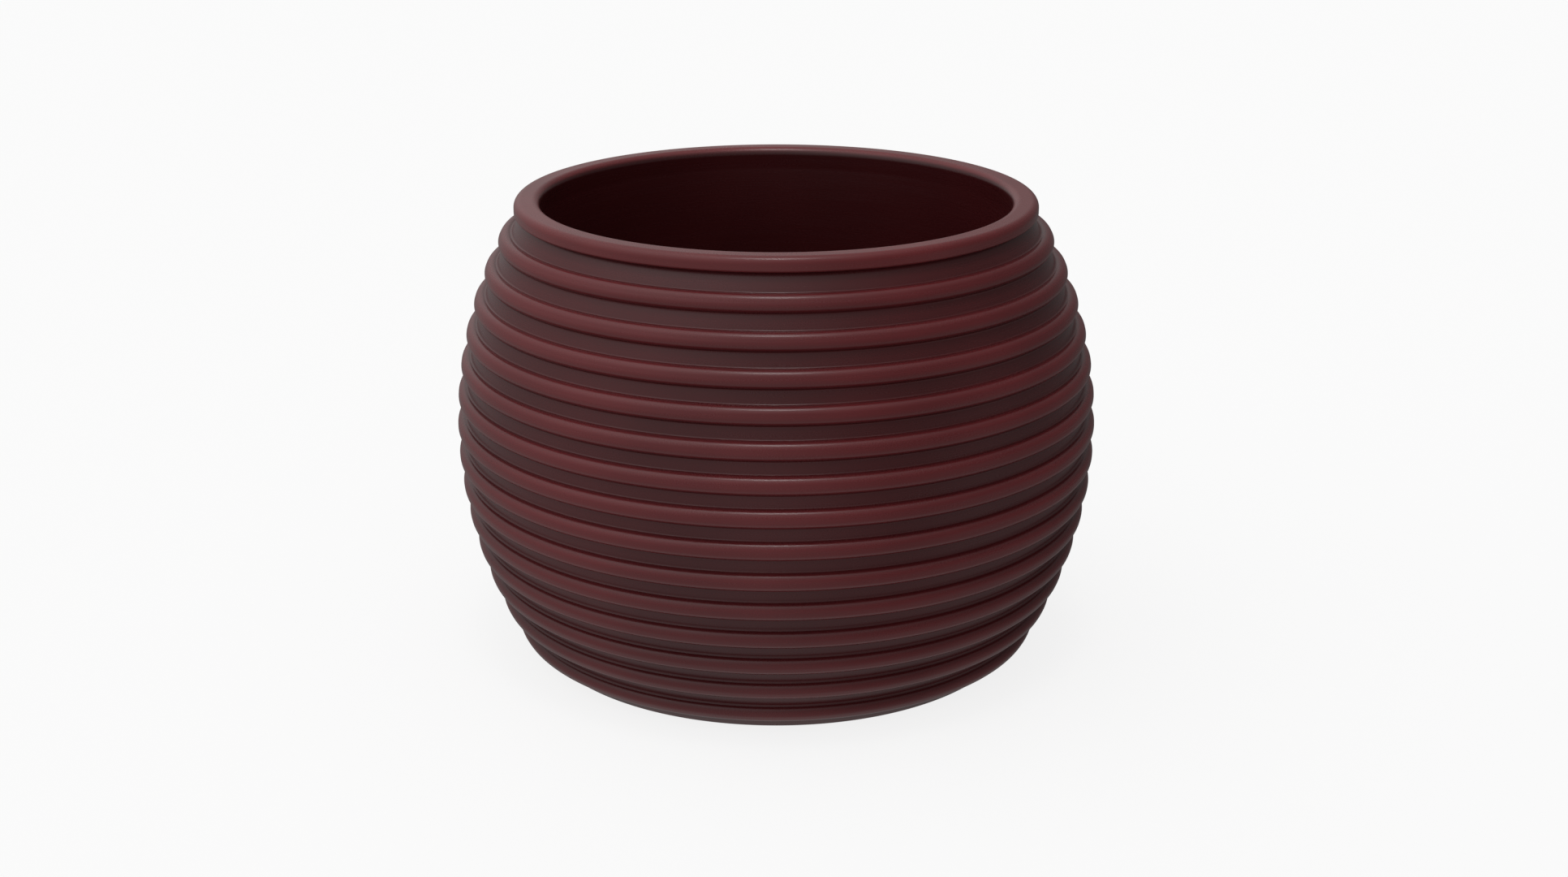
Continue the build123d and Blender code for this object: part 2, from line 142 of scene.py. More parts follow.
def lathe(name, outline, segments, centre=(0.0, 0.0), sharp=40):
    """Closed solid of revolution. A point on the axis becomes a single vertex."""
    verts, rings = [], []
    for r, z in outline:
        count = 1 if r < 1e-6 else segments
        rings.append(range(len(verts), len(verts) + count))
        if count == 1:
            verts.append((centre[0] * MM, centre[1] * MM, z * MM))
            continue
        for k in range(segments):
            x, y = polar(r, 2 * PI * k / segments)
            verts.append(((centre[0] + x) * MM, (centre[1] + y) * MM, z * MM))
    faces = []
    for ring, following in zip(rings, rings[1:] + rings[:1]):
        if len(ring) == 1 and len(following) == 1:
            continue
        for k in range(segments):
            k2 = (k + 1) % segments
            if len(ring) == 1:
                faces.append((ring[0], following[k2], following[k]))
            elif len(following) == 1:
                faces.append((ring[k], ring[k2], following[0]))
            else:
                faces.append((ring[k], ring[k2], following[k2], following[k]))
    obj = pydata_object(name, verts, faces)
    sharpen(obj.data, sharp)
    return outward(obj)


def bar(name, length, width, height, edge, steps):
    """Box centred on its origin, lying along X, with its two long top edges rounded."""
    bm = bmesh.new()
    bmesh.ops.create_cube(bm, size=1.0)
    bmesh.ops.scale(bm, vec=(length * MM, width * MM, height * MM), verts=bm.verts)
    long_top = [
        e for e in bm.edges
        if all(v.co.z > 0 for v in e.verts) and abs(e.verts[0].co.x - e.verts[1].co.x) > 0.01
    ]
    bmesh.ops.bevel(
        bm, geom=long_top, offset=edge * MM, segments=steps, profile=0.5, affect="EDGES"
    )
    return bmesh_object(name, bm)


# ------------------------------------------------------------- outline helpers
def polar(radius, angle):
    return radius * math.cos(angle), radius * math.sin(angle)


def angle_to(origin, target):
    return math.atan2(target[1] - origin[1], target[0] - origin[0])


def arc_points(centre, radius, start, end, steps):
    points = []
    for i in range(steps + 1):
        x, y = polar(radius, start + (end - start) * i / steps)
        points.append((centre[0] + x, centre[1] + y))
    return points


def short_arc(centre, radius, start, end, steps):
    """Arc that takes the shorter way round from start to end."""
    turn = (end - start + PI) % (2 * PI) - PI
    return arc_points(centre, radius, start, start + turn, steps)


def rounded(corners, steps):
    """Closed polygon from (r, z, corner radius) entries, with its corners rounded."""
    points = [np.array(corner[:2], float) for corner in corners]
    outline = []
    for i, point in enumerate(points):
        radius = corners[i][2]
        if radius <= 0:
            outline.append(tuple(point))
            continue
        back = points[i - 1] - point
        ahead = points[(i + 1) % len(points)] - point
        back_length, ahead_length = np.linalg.norm(back), np.linalg.norm(ahead)
        back, ahead = back / back_length, ahead / ahead_length
        half = math.acos(max(-1.0, min(1.0, float(back @ ahead)))) / 2
        # the arc may not use up more than about half of either side
        tangent = min(radius / math.tan(half), back_length * 0.49, ahead_length * 0.49)
        radius = tangent * math.tan(half)
        middle = (back + ahead) / np.linalg.norm(back + ahead)
        centre = point + middle * (radius / math.sin(half))
        start = angle_to(centre, point + back * tangent)
        end = angle_to(centre, point + ahead * tangent)
        outline += short_arc(centre, radius, start, end, steps)
    return outline


def split_sides(outline, step):
    """Split long sides, with a point close to each end to keep smooth shading in place."""
    dense = []
    for i, point in enumerate(outline):
        a, b = np.array(point), np.array(outline[(i + 1) % len(outline)])
        dense.append(tuple(a))
        length = np.linalg.norm(b - a)
        if length > 1.2:
            near = min(0.5, length / 4)
            count = max(1, int((length - 2 * near) / step))
            along = (b - a) / length
            dense.append(tuple(a + along * near))
            for k in range(1, count):
                dense.append(tuple(a + along * (near + (length - 2 * near) * k / count)))
            dense.append(tuple(b - along * near))
    return dense


# ----------------------------------------------------------------- outer shell
SHELL_LO, SHELL_HI = box_mm("ribbed_shell")
LINER_LO, LINER_HI = box_mm("liner_pot")
PAD_LO, PAD_HI = box_mm("foot_pads")

# the wall's outline is an arc about (ARC_C, ARC_Z)
ARC_R, ARC_Z, BAND_MAX_R = 386.66, 213.11, 292.12
ARC_C = BAND_MAX_R - ARC_R
WALL = 5.5
WALL_IN_R = ARC_R - WALL
NECK_Z, NECK_EDGE = SHELL_HI[2], 1.5

# hoops round the wall: two edge arcs with a narrow face between, blended into the wall
RIB_COUNT, RIB_PITCH = 14, 28.545
RIB_FIRST_Z = LINER_HI[2] - 7.94 - RIB_PITCH
RIB_EDGE, RIB_OUT, RIB_FACE, RIB_FILLET = 7.25, 0.61, 2.2, 1.9
EDGE_ARC_R = ARC_R + RIB_OUT
FILLET_ARC_R = ARC_R + RIB_FILLET
# angle on the wall's arc from the centre of a hoop's edge to the centre of its blend
RIB_HALF = math.acos(
    (EDGE_ARC_R ** 2 + FILLET_ARC_R ** 2 - (RIB_EDGE + RIB_FILLET) ** 2)
    / (2 * EDGE_ARC_R * FILLET_ARC_R)
)

# base: a standing ring, and a floor with a collared access hole in the middle
BASE_Z, BASE_EDGE, RING_W = SHELL_LO[2], 2.6, 7.0
FLOOR_UNDER, FLOOR_T = PAD_HI[2], 6.0
FLOOR_TOP = FLOOR_UNDER + FLOOR_T
RING_FILLET, FLOOR_FILLET, FLOOR_FLAT_R = 1.5, 6.0, 215.0
ACCESS_R, COLLAR_W, COLLAR_H = 34.0, 4.0, 4.0
SMALL_EDGE = 0.8
WALL_SEGMENTS = 384


def on_arc(angle, radius):
    x, y = polar(radius, angle)
    return ARC_C + x, ARC_Z + y


def arc_angle(z, radius=ARC_R):
    return math.asin((z - ARC_Z) / radius)


def band(start, end, count):
    """Points on the wall between two features, closer together towards both ends."""
    points = []
    for i in range(1, count):
        t = i / count
        t = t * t * (3 - 2 * t)
        points.append(on_arc(start + (end - start) * t, ARC_R))
    return points


def hoop(start, upper, lower, end):
    """Blend, upper edge, face, lower edge, blend."""
    upper_centre, lower_centre = on_arc(upper, EDGE_ARC_R), on_arc(lower, EDGE_ARC_R)
    upper_blend, lower_blend = on_arc(start, FILLET_ARC_R), on_arc(end, FILLET_ARC_R)
    upper_edge = arc_points(
        upper_centre, RIB_EDGE, angle_to(upper_centre, upper_blend), upper, 15
    )
    lower_edge = arc_points(
        lower_centre, RIB_EDGE, lower, angle_to(lower_centre, lower_blend), 15
    )
    return [
        *short_arc(
            upper_blend, RIB_FILLET, angle_to(upper_blend, on_arc(start, ARC_R)),
            angle_to(upper_blend, upper_centre), 9,
        ),
        *upper_edge[1:],
        on_arc((upper + lower) / 2, EDGE_ARC_R + RIB_EDGE),
        *lower_edge[:-1],
        *short_arc(
            lower_blend, RIB_FILLET, angle_to(lower_blend, lower_centre),
            angle_to(lower_blend, on_arc(end, ARC_R)), 9,
        ),
    ]


def shell_outside():
    """From the neck's top edge down over the hoops to the underside of the standing ring."""
    here = arc_angle(NECK_Z - NECK_EDGE, ARC_R - NECK_EDGE)
    points = arc_points(on_arc(here, ARC_R - NECK_EDGE), NECK_EDGE, PI / 2, here, 6)
    for i in range(RIB_COUNT):
        upper = arc_angle(RIB_FIRST_Z - i * RIB_PITCH)
        lower = upper - RIB_FACE / EDGE_ARC_R
        start, end = upper + RIB_HALF, lower - RIB_HALF
        points += band(here, start, 9 if i else 12)
        points += hoop(start, upper, lower, end)
        here = end
    edge = arc_angle(BASE_Z + BASE_EDGE, ARC_R - BASE_EDGE)
    points += band(here, edge, 7)
    points += arc_points(on_arc(edge, ARC_R - BASE_EDGE), BASE_EDGE, edge, -PI / 2, 8)
    points.append((points[-1][0] - 1.2, BASE_Z))
    return points


def shell_floor():
    """From the standing ring inwards under the floor, up the collar and out over the floor."""
    ring_in = on_arc(arc_angle(BASE_Z), ARC_R)[0] - RING_W
    edge = SMALL_EDGE
    collar_z = FLOOR_TOP + COLLAR_H - edge
    points = [(ring_in + 1.2, BASE_Z)]
    points += arc_points((ring_in + edge, BASE_Z + edge), edge, -PI / 2, -PI, 4)
    points += arc_points(
        (ring_in - RING_FILLET, FLOOR_UNDER - RING_FILLET), RING_FILLET, 0, PI / 2, 4
    )
    points += [(r, FLOOR_UNDER) for r in np.linspace(ring_in - 2.5, ACCESS_R + 1.2, 26)]
    points += arc_points((ACCESS_R + edge, FLOOR_UNDER + edge), edge, -PI / 2, -PI, 4)
    points += [(ACCESS_R, FLOOR_TOP + 1.0), (ACCESS_R, collar_z)]
    points += arc_points((ACCESS_R + edge, collar_z), edge, PI, PI / 2, 4)
    points += arc_points((ACCESS_R + COLLAR_W - edge, collar_z), edge, PI / 2, 0, 4)
    points.append((ACCESS_R + COLLAR_W, FLOOR_TOP + 0.6))
    points += [
        (r, FLOOR_TOP) for r in np.linspace(ACCESS_R + COLLAR_W + 0.6, FLOOR_FLAT_R, 24)
    ]
    return points


def shell_inside():
    """From the corner above the floor up the inner wall to the neck."""
    corner = arc_angle(FLOOR_TOP + FLOOR_FILLET, WALL_IN_R - FLOOR_FILLET)
    corner_centre = on_arc(corner, WALL_IN_R - FLOOR_FILLET)
    points = arc_points(corner_centre, FLOOR_FILLET, -PI / 2, corner, 8)
    neck = arc_angle(NECK_Z - NECK_EDGE, WALL_IN_R + NECK_EDGE)
    points += [on_arc(corner + (neck - corner) * i / 40, WALL_IN_R) for i in range(1, 40)]
    centre = on_arc(neck, WALL_IN_R + NECK_EDGE)
    start = angle_to(centre, on_arc(neck, WALL_IN_R))
    return points + short_arc(centre, NECK_EDGE, start, PI / 2, 6)


# ------------------------------------------------------------------- liner pot
LIP_OUT, LIP_W, LIP_WALL, LIP_H = 240.88, 24.1, 5.4, 13.55
LIP_IN = LIP_OUT - LIP_W
LIP_TOP = LINER_HI[2]
LIP_BOTTOM = LIP_TOP - LIP_H
LIP_UNDER = NECK_Z + 0.3
UPRIGHT_Z = LIP_UNDER - 16.0  # the wall is upright above this height
LINER_WALL, LINER_FLOOR_T = 5.0, 5.0
LINER_Z = LINER_LO[2]
LINER_FLOOR = LINER_Z + LINER_FLOOR_T
LINER_FLOOR_R, DRAIN_R = 194.0, 16.0
LINER_SLOPE = (LIP_IN - LINER_FLOOR_R) / (UPRIGHT_Z - LINER_FLOOR)
# the inner wall's line, carried on down to the underside
LINER_FOOT_R = LINER_FLOOR_R - LINER_SLOPE * LINER_FLOOR_T

# (r, z, corner radius)
LINER_CORNERS = [
    (DRAIN_R, LINER_FLOOR, 0.6),
    (LINER_FLOOR_R, LINER_FLOOR, 20.0),
    (LIP_IN, UPRIGHT_Z, 60.0),
    (LIP_IN, LIP_TOP, 7.4),
    (LIP_OUT, LIP_TOP, 6.8),
    (LIP_OUT, LIP_BOTTOM, 4.4),
    (LIP_OUT - LIP_WALL, LIP_BOTTOM, 0.6),
    (LIP_OUT - LIP_WALL, LIP_UNDER, 1.5),
    (LIP_IN + LINER_WALL, LIP_UNDER, 0.0),
    (LIP_IN + LINER_WALL, UPRIGHT_Z, 60.0),
    (LINER_FOOT_R + LINER_WALL, LINER_Z, 25.0),
    (DRAIN_R, LINER_Z, 0.6),
]
# three overflow holes; OVERFLOW_AT is the cutters' distance from the axis
OVERFLOW_R, OVERFLOW_LENGTH, OVERFLOW_AT, OVERFLOW_Z = 4.0, 40.0, 200.0, 70.0


def overflow_cutter(angle):
    bm = bmesh.new()
    bmesh.ops.create_cone(
        bm, cap_ends=True, segments=32, radius1=OVERFLOW_R * MM, radius2=OVERFLOW_R * MM,
        depth=OVERFLOW_LENGTH * MM,
    )
    cutter = bmesh_object("cut", bm)
    x, y = polar(OVERFLOW_AT * MM, angle)
    cutter.matrix_world = (
        Matrix.Translation((x, y, OVERFLOW_Z * MM))
        @ Matrix.Rotation(angle, 4, "Z")
        @ Matrix.Rotation(PI / 2, 4, "Y")
    )
    return cutter


shell = lathe("outer_wall", shell_outside() + shell_floor() + shell_inside(), WALL_SEGMENTS)
liner_outline = split_sides(rounded(LINER_CORNERS, steps=12), step=6.0)
liner = lathe("liner_wall", liner_outline, WALL_SEGMENTS)
subtract(liner, [overflow_cutter(math.radians(30 + 120 * k)) for k in range(3)])

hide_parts("ribbed_shell")
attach(shell, "shell")
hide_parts("liner_pot")
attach(liner, "liner")

# ------------------------------------------------- bosses and webs on the floor
FOOT_PITCH_R = 165.0  # distance of the bosses and the foot pads from the axis
BOSS_R, BOSS_EDGE = 13.0, 0.8
WEB_START, WEB_END = ACCESS_R + 3.0, FOOT_PITCH_R - 12.0
WEB_W, WEB_H, WEB_EDGE = 4.0, 4.0, 1.2
SINK = 0.4  # how far joined pieces reach into each other


def make_boss(name, angle):
    """Round boss from the shell's floor to the liner's underside."""
    corners = [
        (BOSS_R, FLOOR_TOP - SINK, 0.0),
        (BOSS_R, LINER_Z, BOSS_EDGE),
        (0.0, LINER_Z, 0.0),
        (0.0, FLOOR_TOP - SINK, 0.0),
    ]
    return lathe(name, rounded(corners, steps=5), 48, centre=polar(FOOT_PITCH_R, angle))


def make_web(name, angle):
    """Bar on the floor from the collar to a boss."""
    web = bar(name, WEB_END - WEB_START, WEB_W, WEB_H + SINK, WEB_EDGE, steps=4)
    web.data.shade_smooth()
    sharpen(web.data)
    middle = (WEB_START + WEB_END) / 2
    centre_z = FLOOR_TOP + WEB_H / 2 - SINK / 2
    web.matrix_world = (
        Matrix.Rotation(angle, 4, "Z") @ Matrix.Translation((middle * MM, 0, centre_z * MM))
    )
    bpy.context.view_layer.update()
    return web


for number, angle in enumerate(SIXTHS, 1):
    for obj in (make_boss(f"shell_boss_{number}", angle), make_web(f"shell_web_{number}", angle)):
        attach(obj, "shell")

# ------------------------------------------------------------------- foot pads
PAD_R, PAD_EDGE, PAD_TOP_EDGE = 22.0, 1.4, 0.5
PAD_BORE_R, PAD_WELL_R, PAD_WELL_H, PAD_WELL_EDGE = 3.3, 7.0, 5.0, 0.5
GROOVE_RADII, GROOVE_HALF, GROOVE_FLOOR_HALF, GROOVE_DEPTH = (10.2, 13.4, 16.6), 0.75, 0.45, 0.75


def pad_outline():
    """Disc with a bore, a wider well in its sole and three ring grooves round the well."""
    sole, top = PAD_LO[2], PAD_HI[2]
    points = [
        (PAD_BORE_R, top),
        (PAD_BORE_R, sole + PAD_WELL_H),
        (PAD_WELL_R, sole + PAD_WELL_H),
        (PAD_WELL_R, sole + PAD_WELL_EDGE),
    ]
    well_centre = (PAD_WELL_R + PAD_WELL_EDGE, sole + PAD_WELL_EDGE)
    points += arc_points(well_centre, PAD_WELL_EDGE, PI, 1.5 * PI, 3)
    for r in GROOVE_RADII:
        points += [
            (r - GROOVE_HALF, sole),
            (r - GROOVE_FLOOR_HALF, sole + GROOVE_DEPTH),
            (r + GROOVE_FLOOR_HALF, sole + GROOVE_DEPTH),
            (r + GROOVE_HALF, sole),
        ]
    points += arc_points((PAD_R - PAD_EDGE, sole + PAD_EDGE), PAD_EDGE, -PI / 2, 0, 6)
    top_centre = (PAD_R - PAD_TOP_EDGE, top - PAD_TOP_EDGE)
    return points + arc_points(top_centre, PAD_TOP_EDGE, 0, PI / 2, 3)


pads = []
for number, angle in enumerate(SIXTHS, 1):
    centre = polar(FOOT_PITCH_R, angle)
    pad = lathe(f"foot_pad_{number}", pad_outline(), 72, centre=centre, sharp=35)
    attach(pad, "shell")
    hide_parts("foot_pads")
    pads.append(pad)

# ------------------------------------------------------------------ filter mat
PLATFORM_LO, PLATFORM_HI = box_mm("drainage_platform")
MAT_LO, MAT_HI = box_mm("filter_mat")
MAT_R = (MAT_HI[0] - MAT_LO[0]) / 2 - 1.5
MAT_BASE = MAT_LO[2] * MM  # metres
MAT_RINGS, MAT_SEGMENTS = 44, 168
MAT_LIFT = 3.2  # mean height above the platform before the felt settles
MAT_T = 3.2
SETTLE_FRAMES = 24


def felt_height(x, y, r, angle):
    """Height in millimetres: gentle waves, and an uneven curl near the rim."""
    waves = 2.6 * noise.noise(Vector((x * 0.012, y * 0.012, 4.2)))
    waves += 1.2 * noise.noise(Vector((x * 0.035, y * 0.035, 9.1)))
    uneven = noise.noise(Vector((math.cos(angle) * 1.6, math.sin(angle) * 1.6, 3.3)))
    curl = 7.0 * max(0.0, (r / MAT_R - 0.82) / 0.18) ** 2 * (0.55 + 0.9 * uneven)
    return MAT_LIFT + waves + max(0.0, curl)


def felt_sheet():
    """Wavy single-layer disc on a ring grid, with a slightly ragged rim."""
    verts = [(0, 0, 0)]
    for i in range(1, MAT_RINGS + 1):
        r = MAT_R * i / MAT_RINGS
        for k in range(MAT_SEGMENTS):
            angle = 2 * PI * k / MAT_SEGMENTS
            reach = 1.0
            if i == MAT_RINGS:
                around = Vector((math.cos(angle) * 9, math.sin(angle) * 9, 1.7))
                reach += 0.0035 * noise.noise(around)
            x, y = polar(r * reach, angle)
            verts.append((x * MM, y * MM, felt_height(x, y, r, angle) * MM))
    faces = [(0, 1 + k, 1 + (k + 1) % MAT_SEGMENTS) for k in range(MAT_SEGMENTS)]
    for i in range(MAT_RINGS - 1):
        ring = 1 + i * MAT_SEGMENTS
        outer = ring + MAT_SEGMENTS
        for k in range(MAT_SEGMENTS):
            k2 = (k + 1) % MAT_SEGMENTS
            faces.append((ring + k, outer + k, outer + k2, ring + k2))
    sheet = pydata_object("felt_mat", verts, faces)
    for v in sheet.data.vertices:
        v.co.z += MAT_BASE
    return sheet


def settle(sheet):
    """Let the sheet fall as stiff cloth onto a plane at the platform's top."""
    bm = bmesh.new()
    bmesh.ops.create_grid(bm, x_segments=8, y_segments=8, size=0.25)
    collider = bmesh_object("collider", bm)
    collider.location.z = MAT_BASE - 0.0002
    collider.modifiers.new("Collision", "COLLISION")
    collider.collision.thickness_outer = 0.0008
    collider.collision.cloth_friction = 20
    cloth = sheet.modifiers.new("Cloth", "CLOTH")
    settings = cloth.settings
    settings.quality = 6
    settings.mass = 0.05
    settings.tension_stiffness = 40
    settings.compression_stiffness = 40
    settings.shear_stiffness = 20
    settings.bending_stiffness = 12
    settings.air_damping = 4
    cloth.collision_settings.distance_min = 0.0006
    cloth.collision_settings.use_self_collision = False
    cloth.point_cache.frame_start = 1
    cloth.point_cache.frame_end = SETTLE_FRAMES
    for number in range(1, SETTLE_FRAMES + 1):
        scene.frame_set(number)
    apply_modifiers(sheet)
    bpy.data.objects.remove(collider)
    scene.frame_set(1)


def thicken(sheet):
    solid = sheet.modifiers.new("Thickness", "SOLIDIFY")
    solid.thickness = MAT_T * MM
    solid.offset = 1.0
    solid.use_even_offset = True
    solid.use_rim = True
    smooth = sheet.modifiers.new("Smooth", "SUBSURF")
    smooth.levels = smooth.render_levels = 1
    apply_modifiers(sheet)


def roughen(mesh):
    """Push the surface in and out a little, as fibre fuzz."""
    places, normals = np.zeros(len(mesh.vertices) * 3), np.zeros(len(mesh.vertices) * 3)
    mesh.vertices.foreach_get("co", places)
    mesh.vertices.foreach_get("normal", normals)
    places, normals = places.reshape(-1, 3), normals.reshape(-1, 3)
    fuzz = np.array([
        noise.noise(Vector(p * 550.0)) * 0.16 + noise.noise(Vector(p * 210.0)) * 0.22
        for p in places
    ])
    places += normals * (fuzz * MM)[:, None]
    places[:, 2] = np.maximum(places[:, 2], MAT_BASE + 0.00005)
    mesh.vertices.foreach_set("co", places.ravel())
    mesh.update()


def make_felt():
    felt = felt_sheet()
    settle(felt)
    # keep the sheet close above the platform
    for v in felt.data.vertices:
        v.co.z = min(max(v.co.z, MAT_BASE + 0.0002), MAT_BASE + 0.0062)
    thicken(felt)
    roughen(felt.data)
    felt.data.shade_smooth()
    return outward(felt)


felt = make_felt()
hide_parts("filter_mat")
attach(felt, "mat")

# ------------------------------------------------- drainage platform and legs
PLATE_T, PLATE_EDGE = 5.0, 0.8
PLATE_TOP = MAT_LO[2]
PLATE_UNDER = PLATE_TOP - PLATE_T
PLATE_R = (PLATFORM_HI[0] - PLATFORM_LO[0]) / 2
DRIP_R = 4.0
DRIP_RINGS = [(28.0, 8), (48.0, 12), (68.0, 18), (90.0, 24), (160.0, 42), (178.0, 48)]  # r, count
GRIP_R, GRIP_AT, GRIP_DEGREES = 15.0, 124.0, (30, 210)  # two large holes

SKIRT_H = 8.0  # how far the hoops and spigots hang below the plate
PLATE_HOOPS = [(PLATE_R - 8.0, PLATE_R - 4.0), (98.5, 102.0)]  # inner r, outer r
LEG_AT, LEG_IN, LEG_OUT = 132.0, 13.0, 17.0
LEG_IN_EDGE, LEG_OUT_EDGE = 0.5, 0.8
LEG_LO, LEG_HI = box_mm("platform_legs")
SPIGOT_OUT = LEG_IN - 0.05
SPIGOT_IN = SPIGOT_OUT - 2.5
PORT_W, PORT_LENGTH, PORT_H, PORT_EDGE = 8.0, 44.0, 16.0, 2.5  # half of the height is cut


def add_circle(curve, centre, radius, count):
    spline = curve.splines.new("POLY")
    spline.points.add(count - 1)
    for i in range(count):
        x, y = polar(radius, 2 * PI * i / count)
        spline.points[i].co = ((centre[0] + x) * MM, (centre[1] + y) * MM, 0, 1)
    spline.use_cyclic_u = True


def make_plate(name):
    """Perforated plate with all edges rounded: a filled flat curve, thickened."""
    curve = bpy.data.curves.new(name, "CURVE")
    curve.dimensions = "2D"
    curve.fill_mode = "BOTH"
    curve.extrude = ((PLATE_TOP - PLATE_UNDER) / 2 - PLATE_EDGE) * MM
    curve.bevel_depth = PLATE_EDGE * MM
    curve.bevel_resolution = 3
    add_circle(curve, (0, 0), PLATE_R - PLATE_EDGE, 240)
    for ring_r, count in DRIP_RINGS:
        for k in range(count):
            add_circle(curve, polar(ring_r, 2 * PI * k / count), DRIP_R + PLATE_EDGE, 24)
    for degrees in GRIP_DEGREES:
        add_circle(curve, polar(GRIP_AT, math.radians(degrees)), GRIP_R + PLATE_EDGE, 56)
    source = mesh_object(name + "_curve", curve)
    mesh = evaluated_mesh(source)
    bpy.data.objects.remove(source)
    bm = bmesh.new()
    bm.from_mesh(mesh)
    bmesh.ops.remove_doubles(bm, verts=bm.verts, dist=2e-6)
    middle = (PLATE_UNDER + PLATE_TOP) / 2 * MM
    bmesh.ops.translate(bm, verts=bm.verts, vec=(0, 0, middle))
    bm.to_mesh(mesh)
    bm.free()
    mesh.name = name
    plate = mesh_object(name, mesh)
    mesh.shade_smooth()
    sharpen(mesh, 35)
    return outward(plate)


def hanging_ring(name, inner, outer, edge, segments, centre=(0.0, 0.0)):
    """Ring below the plate, with its lower edges rounded."""
    top, bottom = PLATE_UNDER + SINK, PLATE_UNDER - SKIRT_H
    corners = [(inner, top, 0), (inner, bottom, edge), (outer, bottom, edge), (outer, top, 0)]
    return lathe(name, rounded(corners, steps=4), segments, centre=centre)


def make_leg_mesh():
    """Tube on the axis with two crossed slots through its foot."""
    corners = [
        (LEG_IN, LEG_LO[2], LEG_IN_EDGE),
        (LEG_OUT, LEG_LO[2], LEG_OUT_EDGE),
        (LEG_OUT, LEG_HI[2], LEG_OUT_EDGE),
        (LEG_IN, LEG_HI[2], LEG_IN_EDGE),
    ]
    leg = lathe("platform_leg_1", split_sides(rounded(corners, steps=4), step=5.0), 96)
    ports = []
    for turn in (0.0, PI / 2):
        port = bar("port", PORT_LENGTH, PORT_W, PORT_H, PORT_EDGE, steps=5)
        port.matrix_world = (
            Matrix.Translation((0, 0, LEG_LO[2] * MM)) @ Matrix.Rotation(turn, 4, "Z")
        )
        ports.append(port)
    subtract(leg, ports)
    mesh = leg.data
    bpy.data.objects.remove(leg)
    return mesh


plate_parts = [make_plate("platform_plate")]
for number, (inner, outer) in enumerate(PLATE_HOOPS, 1):
    plate_parts.append(hanging_ring(f"platform_hoop_{number}", inner, outer, 0.8, 192))
leg_mesh = make_leg_mesh()
legs = []
for number, angle in enumerate(SIXTHS, 1):
    centre = polar(LEG_AT, angle)
    plate_parts.append(
        hanging_ring(f"platform_spigot_{number}", SPIGOT_IN, SPIGOT_OUT, 0.6, 56, centre)
    )
    mesh = leg_mesh.copy()
    place = Matrix.Translation((centre[0] * MM, centre[1] * MM, 0))
    mesh.transform(place @ Matrix.Rotation(angle, 4, "Z"))
    legs.append(mesh_object(f"platform_leg_{number}", mesh))
for parts, node in ((plate_parts, "drainage_platform"), (legs, "platform_legs")):
    for obj in parts:
        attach(obj, "platform")
        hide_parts(node)


# ------------------------------------------------------------------- materials
def tint(colour, factor, lift=0.0):
    return tuple(c * factor + lift for c in colour)


